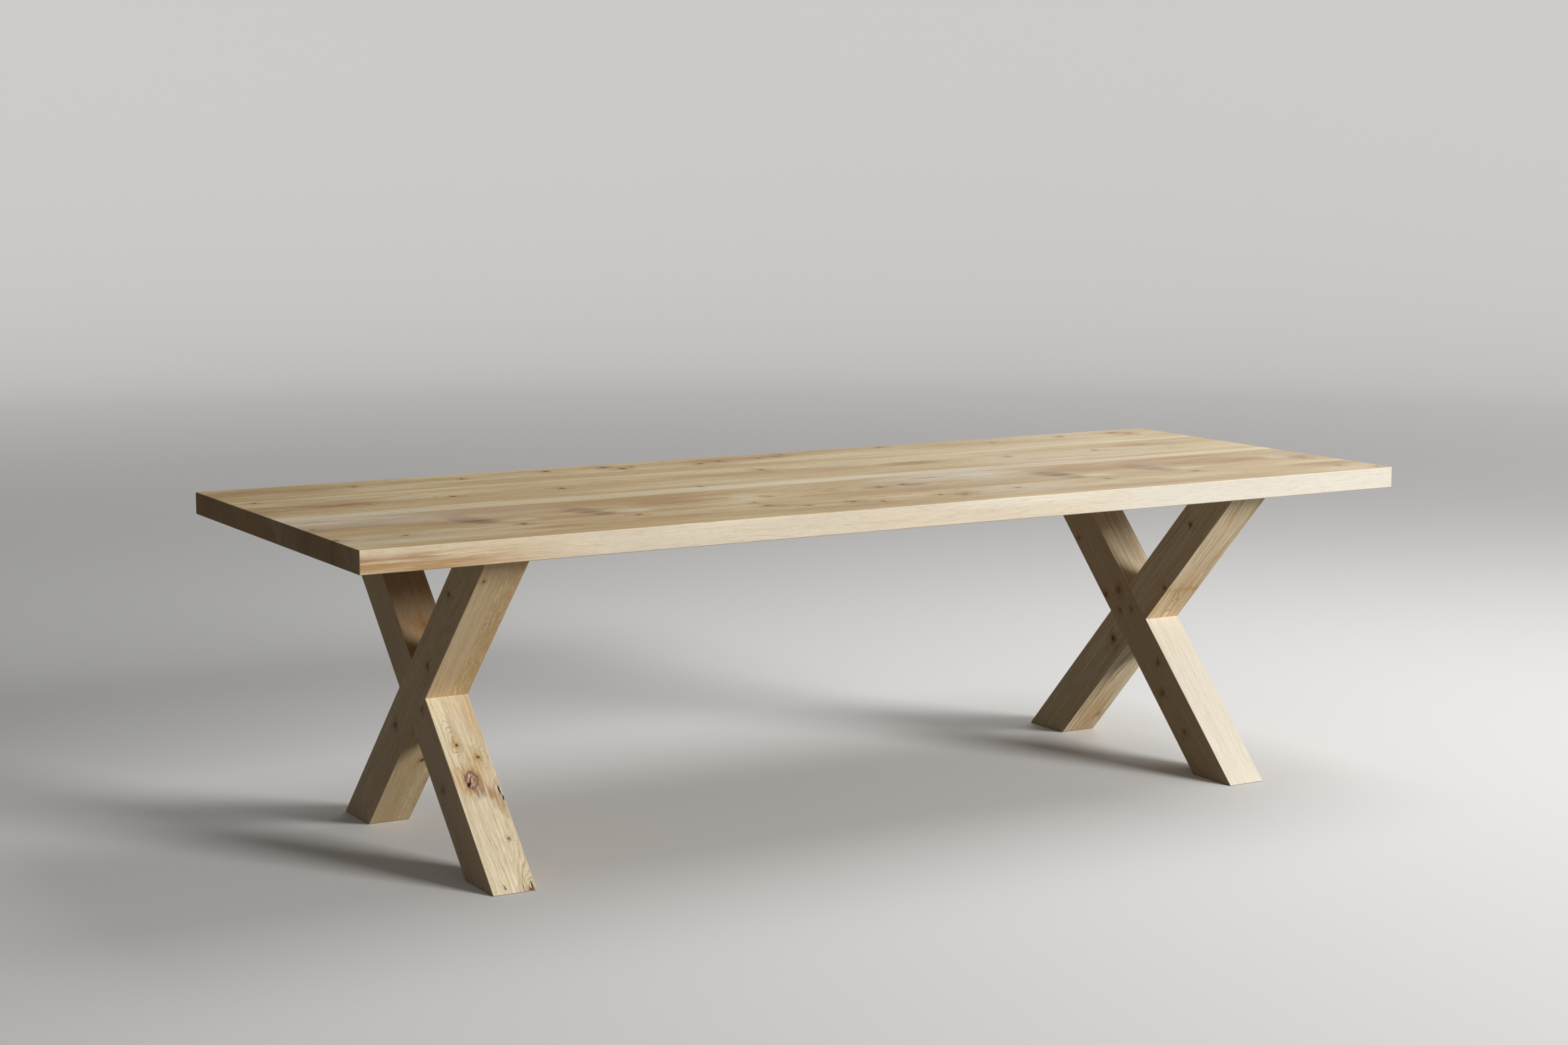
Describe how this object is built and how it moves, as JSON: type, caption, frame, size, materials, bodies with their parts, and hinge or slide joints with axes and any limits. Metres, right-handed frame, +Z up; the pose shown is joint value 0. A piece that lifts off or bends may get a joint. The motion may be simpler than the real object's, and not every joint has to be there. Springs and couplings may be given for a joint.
{
  "type": "sawbuck table",
  "caption": "Long solid oak dining table with a plank top on crossed-beam trestles, halved together and bolted up to the top through hidden steel.",
  "frame": {"origin": "on the floor, under the middle of the top", "axes": "+X along the table, +Y across it towards the back, +Z up"},
  "size_m": [2.66, 1, 0.76],
  "materials": {
    "oak": "brushed, matt oil",
    "beech": "sawn, unfinished",
    "black_steel": "matt black powder coat",
    "zinc_fasteners": "zinc plated",
    "brass_inserts": "turned",
    "felt": "pressed felt"
  },
  "bodies": {
    "root": {"channel_bolts": "zinc_fasteners", "channel_inserts": "brass_inserts", "channel_washers": "zinc_fasteners", "left_foot_pad_back": "felt", "left_foot_pad_front": "felt", "left_head_plate": "black_steel", "left_leg_back_foot": "oak", "left_leg_front_foot": "oak", "left_plate_bolts": "zinc_fasteners", "left_plate_inserts": "brass_inserts", "left_plate_screws_back": "zinc_fasteners", "left_plate_screws_front": "zinc_fasteners", "left_plate_washers": "zinc_fasteners", "middle_channel": "black_steel", "right_foot_pad_back": "felt", "right_foot_pad_front": "felt", "right_head_plate": "black_steel", "right_leg_back_foot": "oak", "right_leg_front_foot": "oak", "right_plate_bolts": "zinc_fasteners", "right_plate_inserts": "brass_inserts", "right_plate_screws_back": "zinc_fasteners", "right_plate_screws_front": "zinc_fasteners", "right_plate_washers": "zinc_fasteners", "top_board_back": "oak", "top_board_front": "oak", "top_board_inner_back": "oak", "top_board_inner_front": "oak", "top_tongue_back": "beech", "top_tongue_front": "beech", "top_tongue_middle": "beech"}
  },
  "joints": []
}
